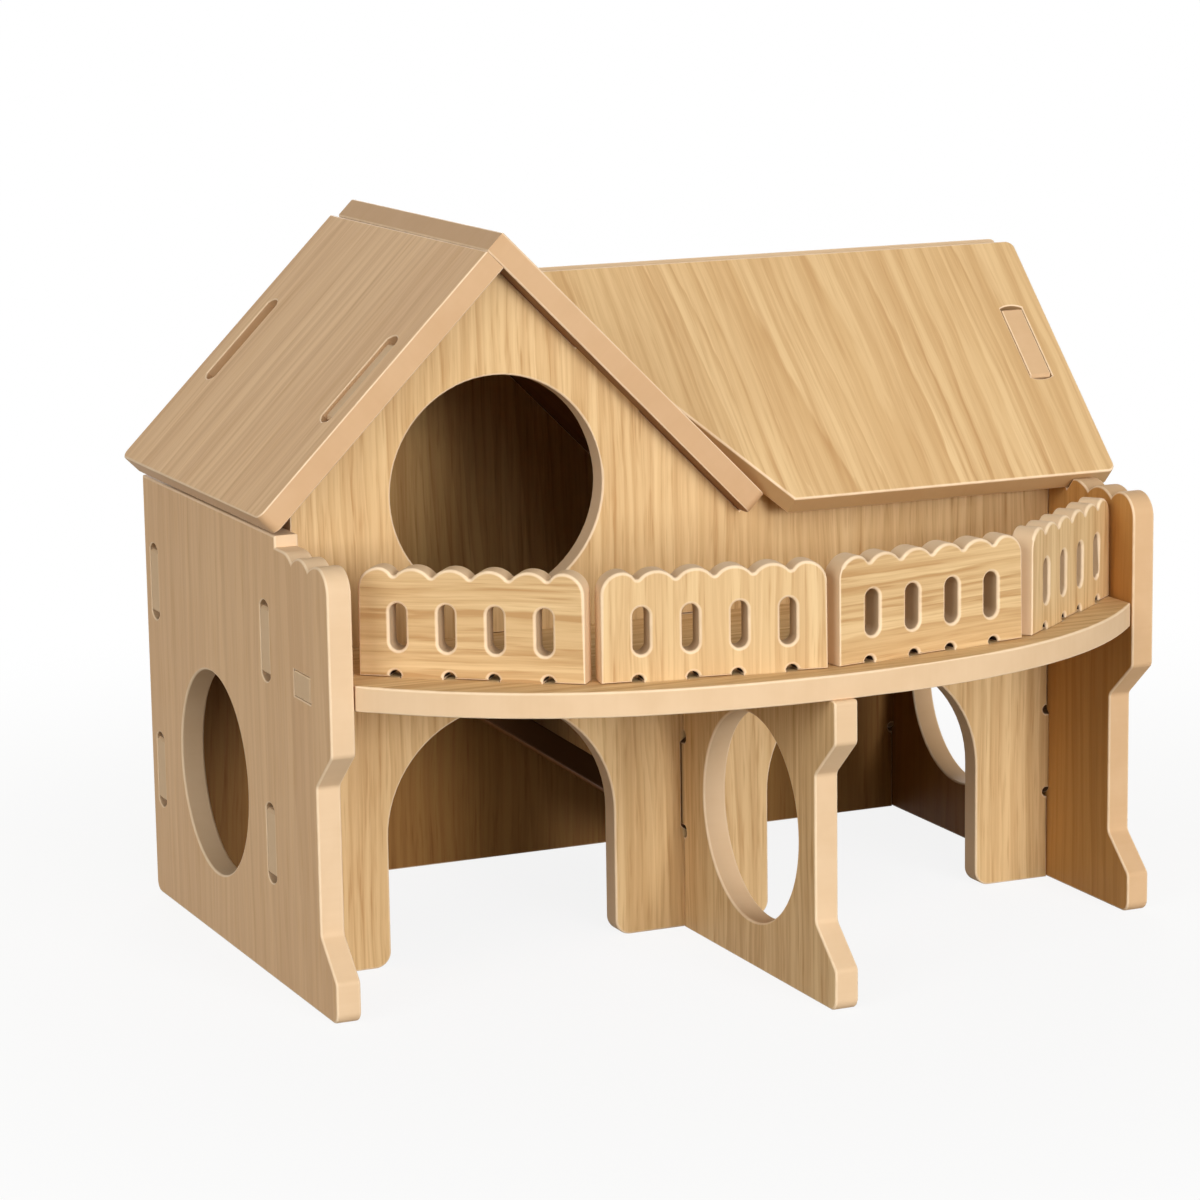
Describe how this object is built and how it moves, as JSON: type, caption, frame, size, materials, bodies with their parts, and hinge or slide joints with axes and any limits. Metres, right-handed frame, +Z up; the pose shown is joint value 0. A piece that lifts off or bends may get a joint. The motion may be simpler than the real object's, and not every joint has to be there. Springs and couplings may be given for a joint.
{
  "type": "small pet house",
  "caption": "Wooden small pet house with a round gable doorway, arches below, a bowed and railed balcony, and pitched roof boards on tabs.",
  "frame": {"origin": "centre of the house's overall footprint, on the floor", "axes": "+X to the right along the front wall and the main ridge, +Y from the balcony to the back, +Z up"},
  "size_m": [0.1738, 0.1414, 0.1351],
  "materials": {
    "veneered_board": "light oak veneer, sanded, satin"
  },
  "bodies": {
    "house": {"left_side_panel": "veneered_board", "right_side_panel": "veneered_board", "front_wall": "veneered_board", "back_wall": "veneered_board", "porch_divider": "veneered_board", "balcony_floor": "veneered_board", "upper_floor": "veneered_board", "ramp": "veneered_board", "railing_1": "veneered_board", "railing_2": "veneered_board", "railing_3": "veneered_board", "railing_4": "veneered_board", "gable_roof_right": "veneered_board"},
    "left_gable_board": {"gable_roof_left": "veneered_board"},
    "front_roof_board": {"main_roof_front": "veneered_board"},
    "back_roof_board": {"main_roof_back": "veneered_board"}
  },
  "joints": [
    {"name": "lift_left_gable_board", "type": "slide", "parent": "house", "child": "left_gable_board", "axis": [-0.7071, 0, 0.7071], "range_m": [0, 0.02]},
    {"name": "lift_front_roof_board", "type": "slide", "parent": "house", "child": "front_roof_board", "axis": [0, -0.7071, 0.7071], "range_m": [0, 0.02]},
    {"name": "lift_back_roof_board", "type": "slide", "parent": "house", "child": "back_roof_board", "axis": [0, 0.7071, 0.7071], "range_m": [0, 0.02]}
  ]
}
